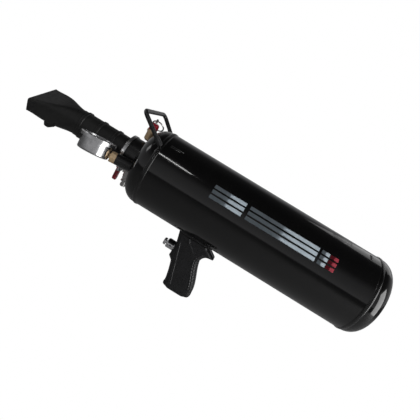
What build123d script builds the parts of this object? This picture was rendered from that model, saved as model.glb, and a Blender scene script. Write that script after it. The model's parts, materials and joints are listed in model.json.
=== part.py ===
from build123d import *
import math
import os

# Hand-held bead seater: an 8 litre air tank with a quick dump valve, a duck-bill nozzle and a pistol grip.
# X runs along the tank's axis towards the rear, Z points up, and the grip hangs down.
# The origin is on the tank's axis, at the flat middle of the rear head. All sizes are in millimetres.

# Tank
tank_radius = 75.0
tank_wall = 2.5
rear_seam_x = -41.0
front_seam_x = -481.0
head_straight = 5.0
head_crown_height = 36.0
knuckle_radius = 28.0
rear_flat_depth = 0.25
bead_half_width = 4.5
bead_height = 1.3

# Neck, barrel and nozzle head
neck_radius = 33.5
neck_bore_radius = 30.0
neck_front_x = -540.0
neck_rear_x = -490.0
gasket_thickness = 1.5
band_radius = 35.0
band_front_x = -547.0
band_rear_x = -541.0
band_lip = 1.5
barrel_radius = 25.75
barrel_bore_radius = 21.5
barrel_front_x = -655.0
barrel_rib_places = (-575.0, -609.0, -643.0)
barrel_rib_height = 1.6
barrel_rib_width = 7.0
spigot_radius = 23.4
spigot_length = 12.0
mouth_x = -743.0
mouth_width = 82.4
mouth_height = 26.2
nozzle_twist = 20.8
nozzle_wall = 3.0
nozzle_screw_turn = 53.0

# Dump valve
seat_bore_radius = 24.0
seat_length = 8.0
cage_rear_x = -472.0
dump_rear_x = -428.0
dump_bore_radius = 29.0
piston_front_x = -486.0
piston_rear_x = -462.0

# Gauge: it stands on a socket that leans outwards from the front head
gauge_foot = Vector(-514.0, -44.5, -9.9)
gauge_line = Vector(-0.960, -0.272, -0.015).normalized()
gauge_tilt = 9.0
gauge_socket_radius = 10.5
gauge_socket_length = 30.0
gauge_adapter_length = 10.5
gauge_centre_distance = 71.0
gauge_case_radius = 28.5
gauge_flange_radius = 31.4
gauge_bezel_radius = 33.5
gauge_back = -10.0
gauge_rim = 15.5
gauge_front = 21.0

# Safety valve
safety_x = -523.0
safety_elbow_radius = 8.0
safety_port_z = 46.0
safety_neck_radius = 6.0
safety_hex_z = 55.0
safety_cap_z = 60.0
safety_cap_top_z = 74.0
safety_cap_radius = 8.4
safety_eye_z = 79.0
safety_stem_radius = 2.0
ring_radius = 11.5
ring_wire_radius = 1.4
ring_lean = 45.0

# Fill valve
fill_x = -536.0
fill_y = 38.0
fill_elbow_z = -26.0
fill_neck_radius = 7.0
fill_body_top_z = -34.5
fill_stem_z = -44.0
fill_body_end_z = -54.0
fill_bore_radius = 3.5
plug_tip_radius = 5.9
plug_end_z = -76.0
lever_front_x = -562.0
lever_rear_x = -554.5
lever_end_z = -73.0

# Carrying handle
handle_rod_radius = 4.0
handle_top_place = (-533.0, 61.8, 91.0)
handle_foot_place = (-488.0, 52.0, 54.0)
handle_foot_depth = 14.0
handle_pad_radius = 5.5
handle_pad_length = 10.0
handle_bend = 9.0

# Grip and trigger valve
grip_half_thickness = 17.0
grip_top_z = -77.2
grip_bottom_z = -190.8
saddle_bottom_z = -76.6
saddle_middle_x = -348.0
trigger_z = -113.3
trigger_radius = 9.6
trigger_front_x = -393.3
trigger_shoulder_x = -378.0
clip_front_x = -391.0
trigger_rear_x = -352.0
button_radius = 7.3
button_front_x = -400.5
button_rear_x = -395.6
button_stem_radius = 3.2
pilot_x = -366.0
pilot_radius = 3.0
pilot_bore_radius = 2.0

running_gap = 0.05


def save(name, *solids):
    shape = solids[0] if len(solids) == 1 else Compound(children=list(solids))
    export_step(shape, f"parts/{name}.step")


def rod(radius, start, end):
    """A round bar from one point to another."""
    start = Vector(*start)
    line = Vector(*end) - start
    place = Plane(origin=start, z_dir=line)
    return place * Cylinder(radius, line.length, align=(Align.CENTER, Align.CENTER, Align.MIN))


def rod_x(radius, x_from, x_to, y=0.0, z=0.0):
    return rod(radius, (x_from, y, z), (x_to, y, z))


def rod_z(radius, z_from, z_to, x, y=0.0):
    return rod(radius, (x, y, z_from), (x, y, z_to))


def tube_x(outer, inner, x_from, x_to):
    return rod_x(outer, x_from, x_to) - rod_x(inner, x_from, x_to)


def hexagon(across_flats, start, end):
    """A hexagonal bar from one point to another."""
    start = Vector(*start)
    line = Vector(*end) - start
    outline = RegularPolygon(across_flats / 2, 6, major_radius=False)
    return extrude(Plane(origin=start, z_dir=line) * outline, line.length)


def swept_rod(path, radius):
    section = Plane(origin=path @ 0, z_dir=path % 0) * Circle(radius)
    return sweep(section, path=path)


def coil(radius, wire_radius, turns, start, end):
    """A compression spring's wire, from one end's middle to the other's."""
    start = Vector(*start)
    line = Vector(*end) - start
    height = line.length - 2 * wire_radius
    helix = Helix(pitch=height / turns, height=height, radius=radius)
    section = Plane(origin=helix @ 0, z_dir=helix % 0) * Circle(wire_radius)
    wire = sweep(section, path=helix, is_frenet=True)
    return Plane(origin=start, z_dir=line) * Pos(0, 0, wire_radius) * wire


# Tank


def head_body(radius, knuckle):
    """Solid of a dished head that opens at x = 0 and bulges towards +X: straight flange, knuckle, crown."""
    height = head_crown_height - (knuckle_radius - knuckle)
    ring = radius - knuckle
    crown = (ring**2 + height**2 - knuckle**2) / (2 * (height - knuckle))
    join = math.asin(ring / (crown - knuckle))
    middle = (math.pi / 2 + join) / 2

    def on_knuckle(angle):
        return (head_straight + knuckle * math.cos(angle), ring + knuckle * math.sin(angle))

    def on_crown(angle):
        return (head_straight + height - crown + crown * math.cos(angle), crown * math.sin(angle))

    outline = Polyline((0, 0), (0, radius), (head_straight, radius))
    outline += ThreePointArc((head_straight, radius), on_knuckle(middle), on_knuckle(join))
    outline += ThreePointArc(on_knuckle(join), on_crown(join / 2), on_crown(0))
    outline += Line(on_crown(0), (0, 0))
    return revolve(Plane.XZ * make_face(outline), Axis.X)


def front_head_body():
    return Pos(front_seam_x, 0, 0) * mirror(head_body(tank_radius, knuckle_radius), Plane.YZ)


def weld_bead(x):
    base = Line((bead_half_width, tank_radius), (-bead_half_width, tank_radius))
    top = (0, tank_radius + bead_height)
    arc = ThreePointArc((-bead_half_width, tank_radius), top, (bead_half_width, tank_radius))
    return Pos(x, 0, 0) * revolve(Plane.XZ * make_face(arc + base), Axis.X)


def make_tank():
    tank_tube = tube_x(tank_radius, tank_radius - tank_wall, front_seam_x, rear_seam_x)
    tank_tube -= rod_z(6.0, -tank_radius - 5, -tank_radius + 10, pilot_x)
    save("tank_shell", tank_tube)
    head = head_body(tank_radius, knuckle_radius)
    head -= head_body(tank_radius - tank_wall, knuckle_radius - tank_wall)
    rear = Pos(rear_seam_x + rear_flat_depth, 0, 0) * head
    beyond_rear = Pos(10, 0, 0) * Box(20, 80, 80)
    lost_flange = tube_x(tank_radius + 1, tank_radius - tank_wall - 1, rear_seam_x - 1, rear_seam_x)
    save("rear_head", rear - beyond_rear - lost_flange)
    front = Pos(front_seam_x, 0, 0) * mirror(head, Plane.YZ)
    front -= rod_x(neck_radius, neck_front_x, neck_rear_x)
    front -= rod(gauge_socket_radius, gauge_foot - gauge_line * 12, gauge_foot + gauge_line * 12)
    front -= rod_x(safety_neck_radius, safety_x, safety_x + 30, 0, safety_port_z)
    front -= rod_x(fill_neck_radius, fill_x, fill_x + 40, fill_y, fill_elbow_z)
    save("front_head", front)
    save("front_weld_bead", weld_bead(front_seam_x))
    save("rear_weld_bead", weld_bead(rear_seam_x))


# Neck, barrel and nozzle head


def make_neck():
    save("neck_pipe", tube_x(neck_radius, neck_bore_radius, neck_front_x, neck_rear_x))
    # The barrel's flange sits on the neck pipe with a gasket between them, under the band's front lip.
    flange_rear_x = neck_front_x - gasket_thickness
    flange_front_x = band_front_x + band_lip
    save("barrel_gasket", tube_x(neck_radius, barrel_bore_radius, flange_rear_x, neck_front_x))
    barrel = rod_x(neck_radius, flange_front_x, flange_rear_x)
    barrel += rod_x(barrel_radius, barrel_front_x, flange_rear_x)
    barrel += rod_x(spigot_radius, barrel_front_x - spigot_length, flange_rear_x)
    for rib_x in barrel_rib_places:
        half_rib = barrel_rib_width / 2
        rib = rod_x(barrel_radius + barrel_rib_height, rib_x - half_rib, rib_x + half_rib)
        barrel += chamfer(rib.edges().filter_by(GeomType.CIRCLE), barrel_rib_height * 0.8)
    barrel -= rod_x(barrel_bore_radius, barrel_front_x - 20, flange_rear_x)
    for screw in nozzle_screw_bars(1.5, 15, 30):
        barrel -= screw
    save("barrel", barrel)
    band = rod_x(band_radius, band_front_x, band_rear_x) - rod_x(neck_radius, flange_front_x, band_rear_x)
    band -= rod_x(barrel_radius + 0.4, band_front_x, band_rear_x)
    middle_x = (band_front_x + band_rear_x) / 2
    screw_z = -band_radius - 2.6
    housing = Pos(middle_x, 0, screw_z + 0.6) * Box(5.6, 13, 5.6)
    housing -= rod_x(band_radius, band_front_x, band_rear_x)
    housing -= rod(1.7, (middle_x, -8, screw_z), (middle_x, 8, screw_z))
    save("neck_band", band + housing)
    screw = rod(1.7, (middle_x, -8, screw_z), (middle_x, 9, screw_z))
    screw += hexagon(4.6, (middle_x, -11, screw_z), (middle_x, -8, screw_z))
    save("band_screw", screw)


def nozzle_screw_bars(radius, inner, outer):
    """Two bars across the nozzle's joint, on opposite sides, for its screws and their holes."""
    turn = math.radians(nozzle_screw_turn)
    screw_x = barrel_front_x - spigot_length / 2
    bars = []
    for side in (-1, 1):
        y = side * math.cos(turn)
        z = -side * math.sin(turn)
        bars.append(rod(radius, (screw_x, inner * y, inner * z), (screw_x, outer * y, outer * z)))
    return bars


def nozzle_body(inset):
    """The duck-bill, from its round rear end to its flat mouth, with every side moved in by the inset."""
    turn = math.radians(nozzle_twist)
    round_width = 2 * 24.9
    stations = (
        (barrel_front_x, round_width, round_width, 24.2),
        (barrel_front_x - 16, 2 * 25.6, round_width, 21.0),
        (barrel_front_x - 45, 66.0, 43.0, 10.0),
        (barrel_front_x - 66, 74.2, 34.6, 6.5),
        (mouth_x, mouth_width, mouth_height, 3.8),
    )
    sections = []
    for x, width, height, corner in stations:
        place = Plane(origin=(x, 0, 0), x_dir=(0, math.cos(turn), math.sin(turn)), z_dir=(-1, 0, 0))
        outline = RectangleRounded(width - 2 * inset, height - 2 * inset, corner - inset)
        sections.append(place * outline)
    return loft(sections)


def make_nozzle():
    turn = math.radians(nozzle_twist)
    across = Plane(origin=(0, 0, 0), x_dir=(1, 0, 0), z_dir=(0, -math.cos(turn), -math.sin(turn)))
    rib_points = ((-711, -14), (-709, -27), (-706, -28.5), (-700, -28.5), (-688, -20), (-688, -14))
    rib = extrude(across * make_face(Polyline(*rib_points, close=True)), amount=30.0, both=True)
    head = nozzle_body(0.0) + rib
    head -= nozzle_body(nozzle_wall)
    head -= rod_x(spigot_radius, barrel_front_x - spigot_length, barrel_front_x)
    for hole, recess in zip(nozzle_screw_bars(1.5, 15, 40), nozzle_screw_bars(2.9, 24.4, 40)):
        head -= hole + recess
    save("nozzle_head", head)
    screws = []
    for shank, cap in zip(nozzle_screw_bars(1.5, 21.7, 24.6), nozzle_screw_bars(2.8, 24.4, 25.9)):
        screws.append(shank + cap)
    save("nozzle_screws", *screws)


# Dump valve inside the neck


def make_dump_valve():
    seat = tube_x(neck_bore_radius, seat_bore_radius, neck_rear_x - seat_length, neck_rear_x)
    save("dump_seat", seat)
    cage = tube_x(neck_radius, neck_bore_radius + 0.5, neck_rear_x, cage_rear_x)
    window = Box(12, 2 * neck_radius + 4, 21)
    for angle in (0, 60, 120):
        cage -= Pos((neck_rear_x + cage_rear_x) / 2, 0, 0) * Rot(angle, 0, 0) * window
    save("dump_cage", cage)
    end_wall_x = dump_rear_x - 4
    cylinder = rod_x(neck_radius, cage_rear_x, dump_rear_x) - rod_x(dump_bore_radius, cage_rear_x, end_wall_x)
    cylinder -= rod_x(pilot_radius, end_wall_x, dump_rear_x)
    save("dump_cylinder", cylinder)
    piston = rod_x(dump_bore_radius - running_gap, piston_front_x, piston_rear_x)
    piston -= rod_x(23.0, piston_front_x + 6, piston_rear_x)
    save("dump_piston", piston)
    save("piston_seal", rod_x(28.0, neck_rear_x + running_gap, piston_front_x))
    spring_front = (piston_front_x + 6, 0, 0)
    save("dump_spring", coil(18.0, 1.4, 6, spring_front, (end_wall_x, 0, 0)))


def make_pilot_line():
    bend = 18.0
    turn_point = (pilot_x, 0, 0)
    route = FilletPolyline((dump_rear_x - 4, 0, 0), turn_point, (pilot_x, 0, -66), radius=bend)
    save("pilot_tube", swept_rod(route, pilot_radius) - swept_rod(route, pilot_bore_radius))
    fitting = hexagon(14, (pilot_x, 0, -66), (pilot_x, 0, -72))
    fitting += rod_z(6.0, -72, saddle_bottom_z, pilot_x)
    save("pilot_fitting", fitting - rod_z(pilot_bore_radius, -66, saddle_bottom_z, pilot_x))
    pipe = rod_z(pilot_radius, saddle_bottom_z, trigger_z, pilot_x)
    pipe -= rod_z(pilot_bore_radius, saddle_bottom_z, trigger_z, pilot_x)
    save("pilot_pipe", pipe - rod_x(trigger_radius, trigger_front_x, trigger_rear_x, 0, trigger_z))


# Gauge


def gauge_place():
    """The dial's plane: its x runs away from the socket and its z out of the glass."""
    side = gauge_line.cross(Vector(0, 0, 1)).normalized()
    upright = side.cross(gauge_line)
    tilt = math.radians(gauge_tilt)
    normal = upright * math.cos(tilt) + side * math.sin(tilt)
    return Plane(origin=gauge_foot + gauge_line * gauge_centre_distance, x_dir=gauge_line, z_dir=normal)


def disc(radius, low, high, x=0.0, y=0.0):
    """A disc that lies in the XY plane between two heights."""
    return Pos(x, y, low) * Cylinder(radius, high - low, align=(Align.CENTER, Align.CENTER, Align.MIN))


def make_gauge():
    place = gauge_place()
    inner_radius = gauge_case_radius - 2
    adapter_start = gauge_foot + gauge_line * gauge_socket_length
    adapter_end = adapter_start + gauge_line * gauge_adapter_length
    socket_start = gauge_foot - gauge_line * 5
    socket = rod(gauge_socket_radius, socket_start, adapter_start)
    save("gauge_socket", socket - rod(5.0, socket_start, adapter_start))
    adapter = hexagon(20.0, adapter_start, adapter_end)
    adapter = adapter & rod(10.4, adapter_start, adapter_end)
    adapter += rod(5.0, adapter_start - gauge_line * 9, adapter_start)
    save("gauge_adapter", adapter - rod(2.0, adapter_start - gauge_line * 9, adapter_end))

    stem_gap = gauge_socket_length + gauge_adapter_length - gauge_centre_distance
    stem = Plane(origin=(stem_gap, 0, 0), z_dir=(1, 0, 0)) * disc(5.0, 0, 9.0)
    block = Pos(stem_gap + 13, 0, 0) * Box(8, 12, 10)
    save("gauge_stem", place * (stem + block))
    case = disc(gauge_case_radius, gauge_back, gauge_rim)
    case = fillet(case.faces().sort_by(Axis.Z)[0].edges(), 3.0)
    case += disc(gauge_flange_radius, gauge_rim - 1.5, gauge_rim)
    case -= disc(inner_radius, gauge_back + 2, gauge_rim)
    save("gauge_case", place * (case - stem))
    dial = disc(inner_radius - 0.1, 8.0, 8.8) - disc(1.6, 8.0, 8.8)
    save("gauge_dial", place * dial)
    save("gauge_lens", place * disc(gauge_flange_radius, gauge_rim, gauge_rim + 3))
    bezel = disc(gauge_bezel_radius, gauge_rim - 2, gauge_front)
    bezel = fillet(bezel.edges().filter_by(GeomType.CIRCLE).sort_by(Axis.Z)[-1], 2.0)
    bezel -= disc(gauge_flange_radius, gauge_rim - 2, gauge_rim + 3)
    bezel -= disc(gauge_case_radius + 0.5, gauge_rim, gauge_front)
    save("gauge_bezel", place * bezel)

    hub = disc(2.8, 9.4, 11.2)
    blade = make_face(Polyline((-8, -1.6), (21, -0.4), (21, 0.4), (-8, 1.6), close=True))
    pointer = hub + Pos(0, 0, 9.8) * extrude(blade, 0.8)
    zero_angle = 135
    save("gauge_pointer", place * Rot(0, 0, zero_angle) * (pointer - disc(1.0, 9.4, 11.2)))
    save("pointer_shaft", place * disc(1.0, -3.0, 11.2))
    # The curved tube unrolls as the pressure rises, and a plate over it carries the pointer's shaft.
    loop = Pos(0, 0, -2) * Rot(0, 0, -150) * revolve(Plane.XZ * Pos(19, 0) * Ellipse(1.6, 3.2), Axis.Z, 250)
    plate = Pos(-8, 0, 4) * Box(26, 12, 2) - disc(1.0 + running_gap, 3, 5)
    save("bourdon_tube", place * (loop - block))
    save("movement_plate", place * (plate - block))


# Safety valve


def make_safety_valve():
    elbow = rod_z(safety_elbow_radius, safety_port_z - 8, safety_hex_z, safety_x)
    elbow = chamfer(elbow.edges().filter_by(GeomType.CIRCLE).sort_by(Axis.Z)[0], 3.0)
    elbow -= front_head_body()
    elbow += rod_x(safety_neck_radius, safety_x, safety_x + 20, 0, safety_port_z)
    elbow -= rod_x(3.5, safety_x, safety_x + 20, 0, safety_port_z)
    save("safety_elbow", elbow - rod_z(3.5, safety_port_z, safety_hex_z, safety_x))
    nose_z = safety_cap_z + 3
    body = hexagon(17.0, (safety_x, 0, safety_hex_z), (safety_x, 0, safety_cap_z))
    body += rod_z(6.0, safety_cap_z, nose_z, safety_x)
    save("safety_body", body - rod_z(3.0, safety_hex_z, nose_z, safety_x))
    cap = rod_z(safety_cap_radius, safety_cap_z, safety_cap_top_z, safety_x)
    cap = chamfer(cap.edges().filter_by(GeomType.CIRCLE).sort_by(Axis.Z)[-1], 2.5)
    cap -= rod_z(6.0, safety_cap_z, safety_cap_top_z - 2, safety_x)
    cap -= rod_z(safety_stem_radius + running_gap, safety_cap_z, safety_cap_top_z, safety_x)
    save("safety_cap", cap)
    save("safety_poppet", rod_z(5.6, nose_z + running_gap, nose_z + 2.5, safety_x))
    eye = rod_x(4.0, safety_x - 1.2, safety_x + 1.2, 0, safety_eye_z)
    stem = rod_z(safety_stem_radius, nose_z + 2.5, safety_eye_z - 2, safety_x) + eye
    save("safety_stem", stem - rod_x(2.2, safety_x - 5, safety_x + 5, 0, safety_eye_z))
    spring_ends = ((safety_x, 0, nose_z + 2.6), (safety_x, 0, safety_cap_top_z - 2.1))
    save("safety_spring", coil(4.2, 0.6, 4, *spring_ends))
    # The split ring hangs from the eye and leans on the far side of the cap, a little to the rear.
    lean = math.radians(ring_lean)
    rearward = 0.3
    down = math.sqrt(1 - rearward**2)
    offset = Vector(rearward, down * math.sin(lean), -down * math.cos(lean)) * ring_radius
    centre = Vector(safety_x, 0, safety_eye_z) + offset
    ring_place = Plane(origin=centre, x_dir=(1, 0, 0), z_dir=(0, math.cos(lean), math.sin(lean)))
    save("pull_ring", ring_place * Torus(ring_radius, ring_wire_radius))


# Fill valve


def fill_bar(radius, z_from, z_to):
    return rod_z(radius, z_from, z_to, fill_x, fill_y)


def stem_bar(radius, x_from, x_to):
    return rod_x(radius, x_from, x_to, fill_y, fill_stem_z)


def make_fill_valve():
    elbow = fill_bar(8.0, fill_elbow_z + 8, fill_body_top_z)
    elbow = chamfer(elbow.edges().filter_by(GeomType.CIRCLE).sort_by(Axis.Z)[-1], 3.0)
    elbow += rod_x(fill_neck_radius, fill_x, fill_x + 30, fill_y, fill_elbow_z)
    elbow -= rod_x(fill_bore_radius, fill_x, fill_x + 30, fill_y, fill_elbow_z)
    save("fill_elbow", elbow - fill_bar(fill_bore_radius, fill_elbow_z, fill_body_top_z))
    ball_radius = 6.2
    chamber_radius = 6.3
    chamber_half = 7.0
    boss_front_x = fill_x - 12.5
    body = fill_bar(9.3, fill_body_top_z, fill_body_end_z) + stem_bar(5.5, boss_front_x, fill_x)
    body -= fill_bar(chamber_radius, fill_stem_z + chamber_half, fill_stem_z - chamber_half)
    body -= fill_bar(fill_bore_radius, fill_body_top_z, fill_body_end_z)
    stem_radius = 2.5
    save("fill_valve_body", body - stem_bar(stem_radius + running_gap, boss_front_x, fill_x))
    port = fill_bar(fill_bore_radius, fill_body_top_z, fill_body_end_z)
    middle = Pos(fill_x, fill_y, fill_stem_z)
    save("fill_ball", middle * Sphere(ball_radius) - port)
    seats = []
    for side in (-1, 1):
        near = fill_stem_z + side * 4.6
        seat = fill_bar(chamber_radius, near, fill_stem_z + side * chamber_half) - port
        seats.append(seat - middle * Sphere(ball_radius + running_gap))
    save("ball_seats", *seats)
    stem = stem_bar(stem_radius, lever_front_x - 2.5, fill_x - 2) - middle * Sphere(ball_radius)
    save("fill_stem", stem)
    width = 12.0
    length = fill_stem_z - lever_end_z
    outline = Pos(0, -length / 2 + width / 4) * SlotOverall(length + width / 2, width, rotation=90)
    lever_place = Plane(origin=(lever_front_x, fill_y, fill_stem_z), x_dir=(0, 1, 0), z_dir=(1, 0, 0))
    lever = extrude(lever_place * outline, lever_rear_x - lever_front_x)
    lever = fillet(lever.edges().group_by(Axis.X)[0] + lever.edges().group_by(Axis.X)[-1], 1.5)
    save("fill_lever", lever - stem_bar(stem_radius, lever_front_x, lever_rear_x))
    nut = hexagon(7.0, (lever_front_x - 2.5, fill_y, fill_stem_z), (lever_front_x, fill_y, fill_stem_z))
    save("lever_nut", nut - stem_bar(stem_radius, lever_front_x - 2.5, lever_front_x))
    # Quick plug, from its hexagon down to its tip: each step is a radius and where it ends.
    plug = hexagon(15.0, (fill_x, fill_y, fill_body_end_z), (fill_x, fill_y, fill_body_end_z - 6))
    steps = ((6.6, -62.5), (8.4, -65.5), (5.0, -69.5), (plug_tip_radius, -74.5), (4.8, plug_end_z))
    top = fill_body_end_z - 6
    for radius, bottom in steps:
        plug += fill_bar(radius, top, bottom)
        top = bottom
    save("quick_plug", plug - fill_bar(3.0, fill_body_end_z, plug_end_z))


# Carrying handle


def clear_of_tank(piece):
    """The piece without whatever of it lies inside the tank, its front head or their weld bead."""
    piece -= rod_x(tank_radius, front_seam_x, rear_seam_x)
    piece -= front_head_body()
    return piece - weld_bead(front_seam_x)


def make_handle():
    routes = []
    pads = []
    for side in (-1, 1):
        foot = Vector(handle_foot_place[0], side * handle_foot_place[1], handle_foot_place[2])
        top = Vector(handle_top_place[0], side * handle_top_place[1], handle_top_place[2])
        leg = (top - foot).normalized()
        start = foot - leg * handle_foot_depth
        routes.append((start, top))
        pads.append(rod(handle_pad_radius, start, foot + leg * handle_pad_length))
    (left_start, left_top), (right_start, right_top) = routes
    route = FilletPolyline(left_start, left_top, right_top, right_start, radius=handle_bend)
    bar = swept_rod(route, handle_rod_radius)
    handle = clear_of_tank(bar)
    save("carry_handle", handle)
    save("handle_pads", *[clear_of_tank(pad) - bar for pad in pads])


# Grip and trigger valve


def grip_outline():
    """Side outline of the grip, from its top front corner round the front, toe, heel and tail."""
    front_step = (-377.5, -130.5)
    finger_top = (-369.5, -137.5)
    toe = (-359.8, -180.0)
    heel = (-300.8, -177.0)
    waist = (-320.2, -110.0)
    tail = (-299.7, -95.0)
    tail_top = (-300.4, -88.6)
    outline = Polyline((-317, grip_top_z), (-383, grip_top_z), (-377, -101.5), front_step, finger_top)
    outline += Spline(finger_top, (-364.2, -156.0), toe)
    outline += Spline(toe, (-360.6, grip_bottom_z + 5.3), (-353, grip_bottom_z))
    outline += Line((-353, grip_bottom_z), (-309, grip_bottom_z))
    outline += Spline((-309, grip_bottom_z), (-303, grip_bottom_z + 3), heel)
    outline += Spline(heel, (-304.8, -157), (-313.6, -134), waist)
    outline += Spline(waist, (-314.5, -98.2), tail)
    outline += ThreePointArc(tail, (-298.2, -91.5), tail_top)
    outline += Line(tail_top, (-317, grip_top_z))
    return make_face(outline)


def bolt_places():
    return (-349.0, -331.0)


def grip_screw_places():
    return ((-334.0, -99.0), (-334.0, -150.0), (-326.0, -184.5))


def across_bar(radius, x, z, y_from, y_to):
    return rod(radius, (x, y_from, z), (x, y_to, z))


def make_grip():
    hollow_points = ((-356, -138), (-331, -124), (-314, -180), (-350, -180))
    hollow = Plane.XZ * make_face(Polyline(*hollow_points, close=True))
    cavity = extrude(hollow, amount=12, both=True)
    cavity += rod_x(trigger_radius, trigger_front_x, trigger_rear_x, 0, trigger_z)
    cavity += rod_z(pilot_radius, grip_top_z, trigger_z, pilot_x)
    for bolt_x in bolt_places():
        cavity += rod_z(3.0, grip_top_z, -90, bolt_x) + rod_z(5.2, -90, -100, bolt_x)
    profile = Plane.XZ * grip_outline()
    for side, name in ((-1, "grip_left"), (1, "grip_right")):
        # The XZ plane's normal points to -Y, so a positive amount makes the left half.
        half = extrude(profile, amount=-side * grip_half_thickness)
        half -= cavity
        for x, z in grip_screw_places():
            half -= across_bar(2.0, x, z, -13, 20)
            half -= across_bar(3.6, x, z, 14.5, 20)
        save(name, half)
    screws = []
    for x, z in grip_screw_places():
        screws.append(across_bar(2.0, x, z, -13, 14.5) + across_bar(3.5, x, z, 14.5, 16.8))
    save("grip_screws", *screws)

    block = Box(68, 30, 20, align=(Align.CENTER, Align.CENTER, Align.MIN))
    saddle = Pos(saddle_middle_x, 0, saddle_bottom_z) * block
    saddle -= rod_x(tank_radius, -400, -300)
    saddle -= rod_z(6.0, saddle_bottom_z, -70, pilot_x)
    bolts = []
    for bolt_x in bolt_places():
        bolts.append(rod_z(3.0, saddle_bottom_z, -90, bolt_x) + rod_z(5.0, -90, -94, bolt_x))
    save("grip_saddle", saddle)
    save("saddle_bolts", *bolts)


def trigger_bar(radius, x_from, x_to):
    return rod_x(radius, x_from, x_to, 0, trigger_z)


def make_trigger():
    body = trigger_bar(trigger_radius, trigger_front_x, trigger_rear_x)
    body = chamfer(body.edges().filter_by(GeomType.CIRCLE).sort_by(Axis.X)[0], 1.3)
    chamber_rear_x = trigger_rear_x - 4
    body -= trigger_bar(button_stem_radius + running_gap, trigger_front_x, trigger_shoulder_x)
    body -= trigger_bar(5.2, trigger_shoulder_x, chamber_rear_x)
    exhaust_x = -384.0
    body -= across_bar(2.0, exhaust_x, trigger_z, -12, 12)
    body -= rod_z(pilot_bore_radius, trigger_z, trigger_z + 12, pilot_x)
    save("trigger_body", body)
    clip = tube_x(trigger_radius + 0.8, trigger_radius, clip_front_x, trigger_shoulder_x)
    upper = Box(30, 30, 20, align=(Align.CENTER, Align.CENTER, Align.MIN))
    save("trigger_clip", Pos(0, 0, trigger_z) * (clip & Pos(clip_front_x, 0, 3.4) * upper))
    button = trigger_bar(button_radius, button_front_x, button_rear_x)
    button = fillet(button.edges().filter_by(GeomType.CIRCLE).sort_by(Axis.X)[0], 2.2)
    save("trigger_button", button)
    poppet_rear_x = trigger_shoulder_x + 4
    stem = trigger_bar(button_stem_radius, button_rear_x, trigger_shoulder_x + running_gap)
    stem += trigger_bar(4.8, trigger_shoulder_x + running_gap, poppet_rear_x)
    save("trigger_stem", stem)
    spring_ends = ((poppet_rear_x + 0.1, 0, trigger_z), (chamber_rear_x - 0.1, 0, trigger_z))
    save("trigger_spring", coil(3.4, 0.5, 5, *spring_ends))


os.makedirs("parts", exist_ok=True)
make_tank()
make_neck()
make_nozzle()
make_dump_valve()
make_pilot_line()
make_gauge()
make_safety_valve()
make_fill_valve()
make_handle()
make_grip()
make_trigger()
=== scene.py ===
import json
import math

import bpy
import numpy as np
from mathutils import Matrix, Vector


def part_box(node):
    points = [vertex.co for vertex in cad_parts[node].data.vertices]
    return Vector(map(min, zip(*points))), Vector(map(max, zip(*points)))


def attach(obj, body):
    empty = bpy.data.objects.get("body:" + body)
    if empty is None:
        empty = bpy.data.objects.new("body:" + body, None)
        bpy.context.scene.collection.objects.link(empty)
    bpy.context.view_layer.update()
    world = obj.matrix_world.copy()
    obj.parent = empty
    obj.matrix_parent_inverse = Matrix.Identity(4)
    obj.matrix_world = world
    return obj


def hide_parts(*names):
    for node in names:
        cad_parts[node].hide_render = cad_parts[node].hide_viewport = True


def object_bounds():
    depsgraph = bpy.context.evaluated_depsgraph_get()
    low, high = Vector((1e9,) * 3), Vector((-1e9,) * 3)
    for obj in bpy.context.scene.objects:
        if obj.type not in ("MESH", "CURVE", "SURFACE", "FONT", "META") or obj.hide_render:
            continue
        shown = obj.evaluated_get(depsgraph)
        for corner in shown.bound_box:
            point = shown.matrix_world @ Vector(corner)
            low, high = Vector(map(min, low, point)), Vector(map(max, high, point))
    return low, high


# Looks of the hand-held bead seater: finishes, sculpted grip halves, weld beads, dial marks, plain
# markings, studio light and the camera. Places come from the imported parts. A number times MM is a
# length in millimetres.

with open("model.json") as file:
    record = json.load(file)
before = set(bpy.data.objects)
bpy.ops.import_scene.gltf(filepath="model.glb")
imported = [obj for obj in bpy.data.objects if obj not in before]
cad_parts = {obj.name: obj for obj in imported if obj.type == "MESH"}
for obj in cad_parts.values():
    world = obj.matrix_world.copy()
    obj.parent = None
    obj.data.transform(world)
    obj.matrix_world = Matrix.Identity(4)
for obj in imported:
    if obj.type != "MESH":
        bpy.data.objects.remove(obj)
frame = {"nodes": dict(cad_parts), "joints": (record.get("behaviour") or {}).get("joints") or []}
cad_low, cad_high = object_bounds()

MM = 0.001
nodes = frame["nodes"]


# Node helpers


def new_material(name):
    material = bpy.data.materials.new("finish_" + name)
    material.use_nodes = True
    tree = material.node_tree
    return material, tree, tree.nodes["Principled BSDF"]


def set_inputs(node, **values):
    for label, value in values.items():
        node.inputs[label.replace("_", " ")].default_value = value


def object_point(tree):
    return tree.nodes.new("ShaderNodeTexCoord").outputs["Object"]


def noise(tree, scale, detail=4.0, stretch=None):
    """A noise value over the part, stretched along the axes when asked."""
    texture = tree.nodes.new("ShaderNodeTexNoise")
    set_inputs(texture, Scale=scale, Detail=detail, Roughness=0.55)
    point = object_point(tree)
    if stretch:
        mapping = tree.nodes.new("ShaderNodeMapping")
        mapping.inputs["Scale"].default_value = stretch
        tree.links.new(point, mapping.inputs["Vector"])
        point = mapping.outputs["Vector"]
    tree.links.new(point, texture.inputs["Vector"])
    return texture.outputs["Fac"]


def remap(tree, value, from_low, from_high, to_low, to_high):
    node = tree.nodes.new("ShaderNodeMapRange")
    set_inputs(node, From_Min=from_low, From_Max=from_high, To_Min=to_low, To_Max=to_high)
    tree.links.new(value, node.inputs["Value"])
    return node.outputs["Result"]


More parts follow.
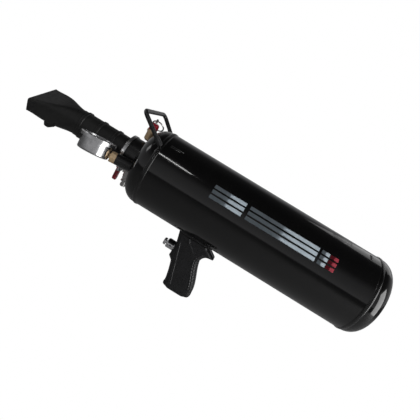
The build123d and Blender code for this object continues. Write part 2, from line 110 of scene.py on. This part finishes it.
def mix_colour(tree, factor, first, second):
    """Mixes two colours; each is a socket or a plain RGB triple."""
    node = tree.nodes.new("ShaderNodeMix")
    node.data_type = "RGBA"
    for index, colour in ((6, first), (7, second)):
        if isinstance(colour, tuple):
            node.inputs[index].default_value = (*colour, 1.0)
        else:
            tree.links.new(colour, node.inputs[index])
    tree.links.new(factor, node.inputs[0])
    return node.outputs[2]


def multiply(tree, first, second):
    node = tree.nodes.new("ShaderNodeMath")
    node.operation = "MULTIPLY"
    tree.links.new(first, node.inputs[0])
    tree.links.new(second, node.inputs[1])
    return node.outputs[0]


def edge_mask(tree, radius):
    """One on sharp edges, zero on flat faces, and the rounded normal that shows there."""
    bevel = tree.nodes.new("ShaderNodeBevel")
    bevel.samples = 4
    bevel.inputs["Radius"].default_value = radius
    geometry = tree.nodes.new("ShaderNodeNewGeometry")
    dot = tree.nodes.new("ShaderNodeVectorMath")
    dot.operation = "DOT_PRODUCT"
    tree.links.new(bevel.outputs["Normal"], dot.inputs[0])
    tree.links.new(geometry.outputs["Normal"], dot.inputs[1])
    return remap(tree, dot.outputs["Value"], 0.995, 0.85, 0.0, 1.0), bevel.outputs["Normal"]


def bump(tree, shader, height, distance, strength=0.5, normal=None):
    node = tree.nodes.new("ShaderNodeBump")
    set_inputs(node, Strength=strength, Distance=distance)
    tree.links.new(height, node.inputs["Height"])
    if normal:
        tree.links.new(normal, node.inputs["Normal"])
    tree.links.new(node.outputs["Normal"], shader.inputs["Normal"])
    return node.outputs["Normal"]


def finish(name, light, dark, rough, grain, bump_depth,
           worn=None, bevel=0.3, stretch=None, **shader_values):
    """Blotches between two colours, uneven roughness, a fine grain and worn, rounded edges."""
    material, tree, shader = new_material(name)
    set_inputs(shader, **shader_values)
    blotches = remap(tree, noise(tree, 45.0, 5.0, stretch), 0.3, 0.7, 0.0, 1.0)
    colour = mix_colour(tree, blotches, dark, light)
    edges, rounded = edge_mask(tree, bevel * MM)
    if worn:
        scuffs = remap(tree, noise(tree, 400.0, 3.0), 0.42, 0.62, 0.0, 1.0)
        colour = mix_colour(tree, multiply(tree, edges, scuffs), colour, worn)
    tree.links.new(colour, shader.inputs["Base Color"])
    smears = remap(tree, noise(tree, 130.0, 4.0, stretch), 0.3, 0.7, rough[0], rough[1])
    tree.links.new(smears, shader.inputs["Roughness"])
    bump(tree, shader, noise(tree, grain, 2.0, stretch), bump_depth * MM, 0.5, rounded)
    return material


# Finishes


def tank_paint():
    """Thick black gloss enamel: faint orange peel, a little dust and very fine scratches."""
    material, tree, shader = new_material("tank_paint")
    set_inputs(shader, Coat_Weight=0.25, Coat_Roughness=0.03)
    cloud = remap(tree, noise(tree, 14.0, 4.0), 0.35, 0.7, 0.0, 1.0)
    colour = mix_colour(tree, cloud, (0.0022, 0.0022, 0.0024), (0.0045, 0.0044, 0.0043))
    dust = remap(tree, noise(tree, 1600.0, 1.0), 0.70, 0.76, 0.0, 0.35)
    tree.links.new(mix_colour(tree, dust, colour, (0.05, 0.05, 0.048)), shader.inputs["Base Color"])
    rubbed = remap(tree, noise(tree, 25.0, 6.0, (0.35, 1.0, 1.0)), 0.35, 0.7, 0.07, 0.16)
    tree.links.new(rubbed, shader.inputs["Roughness"])
    bump(tree, shader, noise(tree, 160.0, 2.0), 0.03 * MM, 0.35)
    return material


def moulded_plastic(name, light, dark, rough):
    """Black moulded plastic with a fine spark-eroded texture and lighter rubbed edges."""
    return finish(name, light, dark, rough, 1500.0, 0.05, (0.06, 0.06, 0.06), 0.5)


def gauge_steel():
    """Turned stainless case: bright, with a fine grain and lighter worn edges."""
    return finish("gauge_steel", (0.68, 0.68, 0.68), (0.54, 0.54, 0.55), (0.16, 0.30), 900.0, 0.015,
                  (0.8, 0.8, 0.8), 0.4, Metallic=1.0)


def brass(name="brass"):
    return finish(name, (0.92, 0.70, 0.46), (0.76, 0.54, 0.30), (0.34, 0.50), 700.0, 0.03,
                  (0.95, 0.78, 0.55), 0.4, Metallic=0.75)


def lens_glass():
    material, tree, shader = new_material("glass")
    set_inputs(shader, Transmission_Weight=1.0, IOR=1.49)
    tree.links.new(remap(tree, noise(tree, 60.0), 0.3, 0.7, 0.02, 0.07), shader.inputs["Roughness"])
    tint = mix_colour(tree, noise(tree, 25.0), (0.97, 0.98, 0.98), (0.93, 0.95, 0.95))
    tree.links.new(tint, shader.inputs["Base Color"])
    return material


def make_finishes():
    """Every record slot's finish, by the slot's name."""
    steel_edge = (0.32, 0.32, 0.33)
    made = [
        tank_paint(),
        finish("black_steel", (0.012, 0.012, 0.013), (0.006, 0.006, 0.006), (0.22, 0.38), 700.0, 0.05,
               (0.10, 0.10, 0.10), 0.4, Coat_Weight=0.2, Coat_Roughness=0.12),
        finish("stainless", (0.78, 0.78, 0.78), (0.60, 0.60, 0.61), (0.18, 0.34), 800.0, 0.02,
               (0.85, 0.85, 0.85), 0.3, (8.0, 1.0, 1.0), Metallic=1.0),
        moulded_plastic("nozzle_plastic", (0.015, 0.015, 0.014), (0.008, 0.008, 0.008), (0.40, 0.56)),
        moulded_plastic("grip_plastic", (0.012, 0.012, 0.013), (0.007, 0.007, 0.008), (0.24, 0.36)),
        brass(),
        finish("red_enamel", (0.42, 0.012, 0.028), (0.26, 0.006, 0.018), (0.22, 0.36), 600.0, 0.03,
               (0.55, 0.20, 0.20), 0.4, Coat_Weight=0.5, Coat_Roughness=0.08),
        gauge_steel(),
        finish("nickel", (0.72, 0.71, 0.70), (0.50, 0.49, 0.48), (0.16, 0.32), 700.0, 0.02,
               (0.85, 0.84, 0.82), 0.3, Metallic=1.0),
        lens_glass(),
        finish("dial_face", (0.86, 0.86, 0.84), (0.78, 0.78, 0.76), (0.45, 0.6), 900.0, 0.01),
        finish("pointer_black", (0.02, 0.02, 0.02), (0.01, 0.01, 0.01), (0.35, 0.5), 900.0, 0.01),
        finish("seal_rubber", (0.022, 0.021, 0.020), (0.012, 0.012, 0.012), (0.6, 0.8), 800.0, 0.05),
        finish("spring_steel", (0.60, 0.60, 0.62), (0.42, 0.42, 0.43), (0.2, 0.35), 900.0, 0.02,
               Metallic=1.0),
        finish("seat_plastic", (0.85, 0.85, 0.82), (0.75, 0.75, 0.72), (0.35, 0.5), 800.0, 0.02),
        finish("piston_plastic", (0.55, 0.54, 0.50), (0.45, 0.44, 0.40), (0.35, 0.5), 800.0, 0.03),
        finish("aluminium", (0.80, 0.80, 0.81), (0.62, 0.62, 0.63), (0.20, 0.36), 800.0, 0.02,
               steel_edge, 0.3, (1.0, 6.0, 6.0), Metallic=1.0),
        finish("marking_pale", (0.42, 0.49, 0.54), (0.33, 0.39, 0.44), (0.55, 0.7), 500.0, 0.01,
               Specular_IOR_Level=0.25),
        finish("marking_red", (0.36, 0.025, 0.045), (0.26, 0.015, 0.03), (0.55, 0.7), 500.0, 0.01,
               Specular_IOR_Level=0.25),
        finish("marking_grey", (0.085, 0.085, 0.085), (0.04, 0.04, 0.04), (0.2, 0.4), 500.0, 0.01),
        finish("dial_print", (0.02, 0.02, 0.02), (0.008, 0.008, 0.008), (0.4, 0.6), 500.0, 0.005),
        finish("dial_print_red", (0.62, 0.03, 0.03), (0.45, 0.02, 0.02), (0.4, 0.6), 500.0, 0.005),
    ]
    return {material.name.removeprefix("finish_"): material for material in made}


finishes = make_finishes()


def dress_cad_nodes():
    for node in nodes.values():
        for place in node.material_slots:
            place.material = finishes[place.material.name]


# Mesh helpers


def add_piece(name, points, faces, body, slot, material=None, replaced=()):
    """A new smooth-shaded mesh that rides on a body and takes a slot's finish."""
    mesh = bpy.data.meshes.new(name)
    mesh.from_pydata([tuple(point) for point in points], [], faces)
    mesh.validate()
    mesh.polygons.foreach_set("use_smooth", [True] * len(mesh.polygons))
    piece = bpy.data.objects.new(name, mesh)
    bpy.context.scene.collection.objects.link(piece)
    mesh.materials.append(finishes[material or slot])
    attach(piece, body)
    if replaced:
        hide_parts(*replaced)
    return piece


def grid_faces(rows, columns, start=0, closed_rows=False, closed_columns=False, flip=False):
    faces = []
    for row in range(rows if closed_rows else rows - 1):
        for column in range(columns if closed_columns else columns - 1):
            down, along = (row + 1) % rows, (column + 1) % columns
            corners = [(row, column), (row, along), (down, along), (down, column)]
            quad = [start + r * columns + c for r, c in corners]
            faces.append(quad[::-1] if flip else quad)
    return faces


# Weld beads


def weld_bead(node):
    """A rippled bead over a seam: the arc of each overlapping pool shows as a shallow crescent."""
    low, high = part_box(node)
    middle_x = (low.x + high.x) / 2
    half_width = (high.x - low.x) / 2
    top = high.z
    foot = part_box("tank_shell")[1].z
    steps_round, steps_across, ripples = 720, 13, 150
    points = []
    for turn_step in range(steps_round):
        turn = 2 * math.pi * turn_step / steps_round
        wander = 0.25 * MM * math.sin(3 * turn + 0.7) + 0.15 * MM * math.sin(11 * turn)
        for across_step in range(steps_across):
            across = 2 * across_step / (steps_across - 1) - 1
            crown = math.sqrt(max(0.0, 1 - across * across))
            ripple = math.cos(ripples * turn - 2.2 * across * across)
            height = (top - foot) * crown * (0.86 + 0.13 * ripple)
            radius = foot - 0.3 * MM * (1 - crown) + height
            x = middle_x + (half_width - 0.4 * MM) * across + wander * crown
            points.append((x, radius * math.cos(turn), radius * math.sin(turn)))
    faces = grid_faces(steps_round, steps_across, closed_rows=True)
    # Two rings under the tank's skin close the bead from below.
    start = len(points)
    inner = foot - 0.6 * MM
    for turn_step in range(steps_round):
        turn = 2 * math.pi * turn_step / steps_round
        for side in (-1, 1):
            x = middle_x + side * half_width * 0.9
            points.append((x, inner * math.cos(turn), inner * math.sin(turn)))
    for turn_step in range(steps_round):
        following = (turn_step + 1) % steps_round
        for side, edge in ((0, 0), (1, steps_across - 1)):
            outer = [turn_step * steps_across + edge, following * steps_across + edge]
            under = [start + 2 * following + side, start + 2 * turn_step + side]
            faces.append((outer + under) if side == 0 else (outer + under)[::-1])
        here, there = start + 2 * turn_step, start + 2 * following
        faces.append([here, there, there + 1, here + 1])
    return add_piece(node + "_rippled", points, faces, "tank", "tank_paint", replaced=(node,))


# Grip halves


def grip_edges():
    """Front and rear edges as x over z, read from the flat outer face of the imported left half."""
    low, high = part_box("grip_left")
    flat = [v.co for v in nodes["grip_left"].data.vertices if v.co.y < low.y + 0.05 * MM]
    top_middle = (low.x + high.x) / 2 - 6 * MM
    bottom_middle = (low.x + high.x) / 2 + 9 * MM
    chains = {"front": {}, "rear": {}}
    for point in flat:
        share = (high.z - point.z) / (high.z - low.z)
        middle = top_middle + (bottom_middle - top_middle) * share
        chain = "front" if point.x < middle else "rear"
        chains[chain][round(point.z, 6)] = point.x
    made = {}
    for name, chain in chains.items():
        heights = sorted(chain)
        made[name] = (np.array(heights), np.array([chain[z] for z in heights]))
    return made


def near_line(points, line):
    """Distance of each (x, z) from a line of points."""
    best = np.full(len(points), 1.0)
    for start, end in zip(line[:-1], line[1:]):
        start, end = np.array(start), np.array(end)
        run = end - start
        share = np.clip((points - start) @ run / max(run @ run, 1e-12), 0.0, 1.0)
        gap = np.linalg.norm(points - (start + share[:, None] * run), axis=1)
        best = np.minimum(best, gap)
    return best


def rounded_drop(distance, radius):
    """How far a rounded edge falls away, at a distance in from the edge."""
    inside = np.clip(radius - distance, 0.0, radius)
    return radius - np.sqrt(radius**2 - inside**2)


def ridge(distance, half_width):
    return np.exp(-((distance / half_width) ** 2))


def grip_relief(points, edges, low, high):
    """Height of the moulded details over the flank: front ridges, thumb shelf and corded rear ribs."""
    top, bottom = high.z - 4 * MM, low.z
    front_ridge = [(low.x + 13.0 * MM, top - 13.5 * MM), (low.x + 36.7 * MM, top - 97.0 * MM)]
    second_ridge = [(low.x + 10.4 * MM, top - 13.5 * MM), (low.x + 33.6 * MM, top - 97.0 * MM)]
    relief = 1.1 * MM * ridge(near_line(points, front_ridge), 1.0 * MM)
    relief += 0.7 * MM * ridge(near_line(points, second_ridge), 0.85 * MM)
    shelf_places = ((24, 5), (29, -6), (38, -12.5), (42, -17.5), (49, -20.0), (57, -18.5), (62, -13.5))
    shelf = [(low.x + along * MM, top + up * MM) for along, up in shelf_places]
    relief += 1.4 * MM * ridge(near_line(points, shelf), 1.7 * MM)
    heights, rear = edges["rear"]
    rib_top, rib_bottom = top - 24 * MM, bottom + 18 * MM
    cord_pitch = 2.9 * MM
    for inset, phase in ((9.2 * MM, 0.0), (4.9 * MM, math.pi)):
        rib_z = np.linspace(rib_top, rib_bottom, 60)
        rib = list(zip(np.interp(rib_z, heights, rear) - inset, rib_z))
        wave = 0.72 + 0.28 * np.cos((points[:, 1] - rib_top) / cord_pitch * math.pi + phase)
        relief += 1.1 * MM * ridge(near_line(points, rib), 0.95 * MM) * wave
    return relief


def grip_half(node, side):
    """One moulded grip half: flat flank, rounded front and back, ridges and a parting line."""
    low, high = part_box("grip_left")
    edges = grip_edges()
    thickness = high.y - low.y
    rows, columns = 170, 104
    parting = 0.12 * MM
    ease = np.linspace(0.0, 1.0, rows)
    z_rows = high.z - (high.z - low.z) * (ease - 0.06 * np.sin(2 * math.pi * ease) / (2 * math.pi))
    across = 0.5 - 0.5 * np.cos(np.linspace(0, math.pi, columns))
    across = 0.55 * across + 0.45 * np.linspace(0, 1, columns)
    front = np.interp(z_rows, *edges["front"])
    rear = np.interp(z_rows, *edges["rear"])
    x = front[:, None] + (rear - front)[:, None] * across[None, :]
    z = np.repeat(z_rows[:, None], columns, axis=1)
    flat = np.column_stack([x.ravel(), z.ravel()])
    front_line = list(zip(front, z_rows))
    rear_line = list(zip(rear, z_rows))
    drop = rounded_drop(near_line(flat, front_line), 8.5 * MM)
    drop += rounded_drop(near_line(flat, rear_line), 8.5 * MM)
    drop += rounded_drop(high.z - flat[:, 1], 1.2 * MM)
    drop += rounded_drop(flat[:, 1] - low.z, 4.0 * MM)
    swell = 0.9 * MM * ((flat[:, 0] - x.mean()) / (30 * MM)) ** 2
    depth = thickness - 1.2 * MM - drop - swell + grip_relief(flat, edges, low, high)
    depth = np.clip(depth, parting, thickness - 0.02 * MM)
    outer = np.column_stack([flat[:, 0], side * depth, flat[:, 1]])
    inner = np.column_stack([flat[:, 0], np.full(len(flat), side * parting), flat[:, 1]])
    points = np.vstack([outer, inner])
    count = rows * columns
    faces = grid_faces(rows, columns, flip=side > 0)
    faces += grid_faces(rows, columns, start=count, flip=side < 0)
    rim = [c for c in range(columns)] + [r * columns + columns - 1 for r in range(1, rows)]
    rim += [(rows - 1) * columns + c for c in range(columns - 2, -1, -1)]
    rim += [r * columns for r in range(rows - 2, 0, -1)]
    for first, second in zip(rim, rim[1:] + rim[:1]):
        quad = [first, first + count, second + count, second]
        faces.append(quad[::-1] if side > 0 else quad)
    return add_piece(node + "_moulding", points, faces, "tank", "grip_plastic", replaced=(node,))


# Markings: plain bars where the real tank is printed


def tank_bar(x_from, x_to, turn_from, turn_to, lift=0.06):
    """A thin patch of print that follows the tank's side. Turns are degrees up from the near side."""
    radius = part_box("tank_shell")[1].z + lift * MM
    steps_x, steps_turn = 2, max(3, int(abs(turn_to - turn_from) / 1.0) + 2)
    points = []
    for radial in (radius, radius - 0.05 * MM):
        for i in range(steps_x):
            x = x_from + (x_to - x_from) * i / (steps_x - 1)
            for j in range(steps_turn):
                turn = math.radians(turn_from + (turn_to - turn_from) * j / (steps_turn - 1))
                points.append((x, -radial * math.cos(turn), radial * math.sin(turn)))
    count = steps_x * steps_turn
    faces = grid_faces(steps_x, steps_turn)
    faces += grid_faces(steps_x, steps_turn, start=count, flip=True)
    rim = list(range(steps_turn)) + [count - 1 - k for k in range(steps_turn)]
    for first, second in zip(rim, rim[1:] + rim[:1]):
        faces.append([first, first + count, second + count, second])
    return points, faces


def merge(bars):
    points, faces = [], []
    for bar_points, bar_faces in bars:
        start = len(points)
        points += bar_points
        faces += [[start + index for index in face] for face in bar_faces]
    return points, faces


def make_markings():
    """Two long striped blocks and a short one, a red block at the end, and small data-plate bars."""
    rear_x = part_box("tank_shell")[1].x
    stripe_turns, half_stripe = (19.5, 27.0, 34.5), 2.6
    pale = []
    for start, end in ((-323.0, -260.0), (-252.0, -116.0), (-111.0, -96.0)):
        for turn in stripe_turns:
            ends = (rear_x + start * MM, rear_x + end * MM)
            pale.append(tank_bar(*ends, turn - half_stripe, turn + half_stripe))
    red = []
    for turn in stripe_turns:
        ends = (rear_x - 94.5 * MM, rear_x - 79.0 * MM)
        red.append(tank_bar(*ends, turn - half_stripe, turn + half_stripe))
    add_piece("tank_stripes_pale", *merge(pale), "tank", "tank_paint", "marking_pale")
    add_piece("tank_stripes_red", *merge(red), "tank", "tank_paint", "marking_red")
    plate = []
    for turn in (69.0, 74.0, 79.0, 84.0):
        plate.append(tank_bar(rear_x - 101.0 * MM, rear_x - 65.0 * MM, turn - 0.6, turn + 0.6))
    for x in (-102.0, -64.0):
        plate.append(tank_bar(rear_x + x * MM, rear_x + (x + 1.2) * MM, 66.0, 88.0))
    plate.append(tank_bar(rear_x - 26.0 * MM, rear_x - 20.0 * MM, 67.0, 80.0))
    for turn, length in ((50.5, 20.0), (53.0, 26.0)):
        plate.append(tank_bar(rear_x - 427.0 * MM, rear_x + (length - 427.0) * MM, turn, turn + 1.2))
    add_piece("tank_data_bars", *merge(plate), "tank", "tank_paint", "marking_grey")


# Gauge dial


def dial_matrix():
    """The dial's plane: origin on its face, x away from the socket, z out through the glass."""
    needle = next(joint for joint in frame["joints"] if joint["name"] == "needle_turn")
    normal = -Vector(needle["axis"]).normalized()
    dial = np.array([v.co for v in nodes["gauge_dial"].data.vertices])
    centre = Vector((dial.max(0) + dial.min(0)) / 2)
    top = max((Vector(point) - centre).dot(normal) for point in dial)
    adapter_low, adapter_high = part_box("gauge_adapter")
    outwards = centre - (adapter_low + adapter_high) / 2
    x_line = (outwards - outwards.dot(normal) * normal).normalized()
    y_line = normal.cross(x_line)
    place = Matrix((x_line, y_line, normal)).transposed().to_4x4()
    place.translation = centre + normal * (top + 0.03 * MM)
    return place


def flat_bar(place, radius_from, radius_to, turn, width):
    """A printed tick: a thin radial bar on the dial."""
    line = Vector((math.cos(turn), math.sin(turn), 0.0))
    side = Vector((-line.y, line.x, 0.0)) * width / 2
    points = []
    for lift in (0.05 * MM, 0.0):
        up = Vector((0, 0, lift))
        near, far = line * radius_from, line * radius_to
        corners = (near - side, far - side, far + side, near + side)
        points += [place @ (corner + up) for corner in corners]
    faces = [[0, 1, 2, 3], [7, 6, 5, 4]] + [[i, i + 4, (i + 1) % 4 + 4, (i + 1) % 4] for i in range(4)]
    return points, faces


def arc_band(place, radius_from, radius_to, turn_from, turn_to):
    steps = 40
    points = []
    for lift in (0.05 * MM, 0.0):
        for step in range(steps):
            turn = turn_from + (turn_to - turn_from) * step / (steps - 1)
            for radius in (radius_from, radius_to):
                points.append(place @ Vector((radius * math.cos(turn), radius * math.sin(turn), lift)))
    faces = grid_faces(steps, 2) + grid_faces(steps, 2, start=2 * steps, flip=True)
    return points, faces


def dial_number(place, text, turn, radius, size):
    """A number printed on the dial, upright as seen with the socket at the bottom."""
    curve = bpy.data.curves.new("number_" + text, "FONT")
    curve.body = text
    curve.size = size
    curve.align_x = "CENTER"
    curve.align_y = "CENTER"
    curve.extrude = 0.02 * MM
    holder = bpy.data.objects.new("number_" + text, curve)
    bpy.context.scene.collection.objects.link(holder)
    mesh = bpy.data.meshes.new_from_object(holder)
    upright = Matrix.Rotation(-math.pi / 2, 4, "Z")
    spot = Matrix.Translation((radius * math.cos(turn), radius * math.sin(turn), 0.03 * MM))
    mesh.transform(place @ spot @ upright)
    points = [tuple(v.co) for v in mesh.vertices]
    faces = [list(face.vertices) for face in mesh.polygons]
    bpy.data.objects.remove(holder)
    bpy.data.meshes.remove(mesh)
    return points, faces


def make_dial_marks():
    """A 0 to 12 bar scale over 270 degrees, with a red band above the working pressure."""
    place = dial_matrix()
    case_radius = (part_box("gauge_dial")[1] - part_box("gauge_dial")[0]).x / 2
    start_turn, sweep, bars = math.radians(135.0), math.radians(270.0), 12
    outer = case_radius * 0.90
    black = [arc_band(place, outer, outer + 0.35 * MM, start_turn - sweep, start_turn)]
    for step in range(bars * 5 + 1):
        turn = start_turn - sweep * step / (bars * 5)
        major = step % 5 == 0
        length, width = (3.4 * MM, 0.55 * MM) if major else (1.9 * MM, 0.28 * MM)
        black.append(flat_bar(place, outer - length, outer, turn, width))
    for value in range(0, bars + 1, 2):
        turn = start_turn - sweep * value / bars
        black.append(dial_number(place, str(value), turn, outer - 6.6 * MM, 4.6 * MM))
    red_turn = start_turn - sweep * 9 / bars
    add_piece("dial_scale", *merge(black), "tank", "dial_face", "dial_print")
    red = arc_band(place, outer - 5.0 * MM, outer - 4.0 * MM, start_turn - sweep, red_turn)
    add_piece("dial_red_band", *red, "tank", "dial_face", "dial_print_red")


# Pull ring


def split_ring():
    """The safety valve's pull ring: two turns of flattened wire, as a key ring is wound."""
    source = np.array([v.co for v in nodes["pull_ring"].data.vertices])
    centre = source.mean(0)
    spread = np.linalg.svd(source - centre, full_matrices=False)[2]
    along, across, normal = (Vector(line) for line in spread)
    reach = np.abs((source - centre) @ spread[0]).max()
    wire = np.abs((source - centre) @ spread[2]).max()
    radius = reach - wire
    steps, sections, turns = 220, 10, 2.0
    points = []
    for step in range(steps):
        share = step / (steps - 1)
        turn = 2 * math.pi * turns * share
        lift = (share - 0.5) * wire * 1.05
        line = along * math.cos(turn) + across * math.sin(turn)
        middle = Vector(centre) + line * radius + normal * lift
        for section in range(sections):
            angle = 2 * math.pi * section / sections
            outwards = line * (wire * 0.92 * math.cos(angle))
            upwards = normal * (wire * 0.46 * math.sin(angle))
            points.append(middle + outwards + upwards)
    faces = grid_faces(steps, sections, closed_columns=True)
    faces += [list(range(sections))[::-1], [len(points) - sections + k for k in range(sections)]]
    return add_piece("pull_ring_wound", points, faces, "relief_ring", "nickel", replaced=("pull_ring",))


# Stage, light and camera


def make_camera():
    """Looks a little down on the near side, rolled so that the tank slopes down to the right."""
    data = bpy.data.cameras.new("camera")
    data.sensor_width = 36.0
    data.lens = 33.086
    data.clip_start = 0.01
    data.clip_end = 60.0
    camera = bpy.data.objects.new("camera", data)
    bpy.context.scene.collection.objects.link(camera)
    yaw, pitch, roll = math.radians(2.406), math.radians(13.522), math.radians(31.509)
    right = Vector((math.cos(yaw), math.sin(yaw) * math.cos(pitch), -math.sin(yaw) * math.sin(pitch)))
    up = Vector((0.0, math.sin(pitch), math.cos(pitch)))
    forward = up.cross(right)
    x_line = right * math.cos(roll) + up * math.sin(roll)
    y_line = up * math.cos(roll) - right * math.sin(roll)
    placed = Matrix((x_line, y_line, -forward)).transposed().to_4x4()
    placed.translation = (-0.3227, -0.7130, 0.1584)
    camera.matrix_world = placed
    bpy.context.scene.camera = camera


def area_light(name, place, target, size, radiance, spread=180.0):
    """A rectangular softbox at a place, facing a target, of a given brightness."""
    data = bpy.data.lights.new(name, "AREA")
    data.shape = "RECTANGLE"
    data.size, data.size_y = size
    data.energy = radiance * math.pi * size[0] * size[1]
    data.spread = math.radians(spread)
    lamp = bpy.data.objects.new(name, data)
    lamp.location = place
    lamp.rotation_euler = (Vector(target) - Vector(place)).to_track_quat("-Z", "Y").to_euler()
    lamp.visible_camera = False
    bpy.context.scene.collection.objects.link(lamp)
    return lamp


def camera_only_white(tree, dim_shader, output, white=1.0):
    """White where the camera looks straight at it, and dimmer where the object mirrors it."""
    path = tree.nodes.new("ShaderNodeLightPath")
    bright = tree.nodes.new("ShaderNodeEmission" if output == "Surface" else "ShaderNodeBackground")
    bright.inputs["Color"].default_value = (white, white, white, 1.0)
    mix = tree.nodes.new("ShaderNodeMixShader")
    tree.links.new(path.outputs["Is Camera Ray"], mix.inputs[0])
    tree.links.new(dim_shader.outputs[0], mix.inputs[1])
    tree.links.new(bright.outputs[0], mix.inputs[2])
    return mix


def make_world():
    """A white studio whose walls are brighter low down than overhead."""
    world = bpy.data.worlds.new("studio")
    bpy.context.scene.world = world
    world.use_nodes = True
    tree = world.node_tree
    background = tree.nodes["Background"]
    point = tree.nodes.new("ShaderNodeTexCoord").outputs["Generated"]
    split = tree.nodes.new("ShaderNodeSeparateXYZ")
    tree.links.new(point, split.inputs[0])
    ramp = tree.nodes.new("ShaderNodeValToRGB")
    tree.links.new(split.outputs["Z"], ramp.inputs[0])
    levels = ((0.0, 0.42), (0.23, 0.32), (0.50, 0.24), (0.72, 0.05), (1.0, 0.02))
    while len(ramp.color_ramp.elements) < len(levels):
        ramp.color_ramp.elements.new(0.5)
    for element, (position, level) in zip(ramp.color_ramp.elements, levels):
        element.position = position
        element.color = (level, level, level * 1.02, 1.0)
    tree.links.new(ramp.outputs[0], background.inputs["Color"])
    mix = camera_only_white(tree, background, "World")
    tree.links.new(mix.outputs[0], tree.nodes["World Output"].inputs["Surface"])


def make_floor():
    """A plain pale floor below the grip's foot."""
    half = 14.0
    drop = cad_low.z - 0.35
    mesh = bpy.data.meshes.new("floor")
    corners = ((-half, -half, drop), (half, -half, drop), (half, half, drop), (-half, half, drop))
    mesh.from_pydata(corners, [], [(0, 1, 2, 3)])
    floor = bpy.data.objects.new("floor", mesh)
    bpy.context.scene.collection.objects.link(floor)
    material, tree, shader = new_material("floor_paper")
    set_inputs(shader, Base_Color=(0.5, 0.5, 0.5, 1.0), Roughness=0.9)
    mix = camera_only_white(tree, shader, "Surface")
    tree.links.new(mix.outputs[0], tree.nodes["Material Output"].inputs["Surface"])
    mesh.materials.append(material)


def make_lights():
    """A key box ahead of the nozzle, a strip over the tank, a rear box and a tall window box."""
    front_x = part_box("front_head")[0].x
    tank_middle = (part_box("tank_shell")[0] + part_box("tank_shell")[1]) / 2
    head = Vector((front_x - 0.06, -0.03, 0.0))
    area_light("key_box", (front_x - 2.2, -0.5, 1.5), head, (0.7, 0.7), 2.2)
    area_light("strip_box", (-0.6285, -0.638, 0.838), tank_middle, (0.19, 0.03), 15.0)
    area_light("rear_box", (0.9, 1.4, 1.3), tank_middle, (1.2, 1.2), 0.7)
    area_light("window_box", head + Vector((2.05, -0.79, 0.22)), head, (1.2, 2.0), 4.4)


def make_view():
    scene = bpy.context.scene
    scene.view_settings.view_transform = "Standard"
    scene.view_settings.look = "None"


make_camera()
dress_cad_nodes()
for seam in ("front_weld_bead", "rear_weld_bead"):
    weld_bead(seam)
grip_half("grip_left", -1)
grip_half("grip_right", 1)
make_markings()
make_dial_marks()
split_ring()
make_world()
make_floor()
make_lights()
make_view()
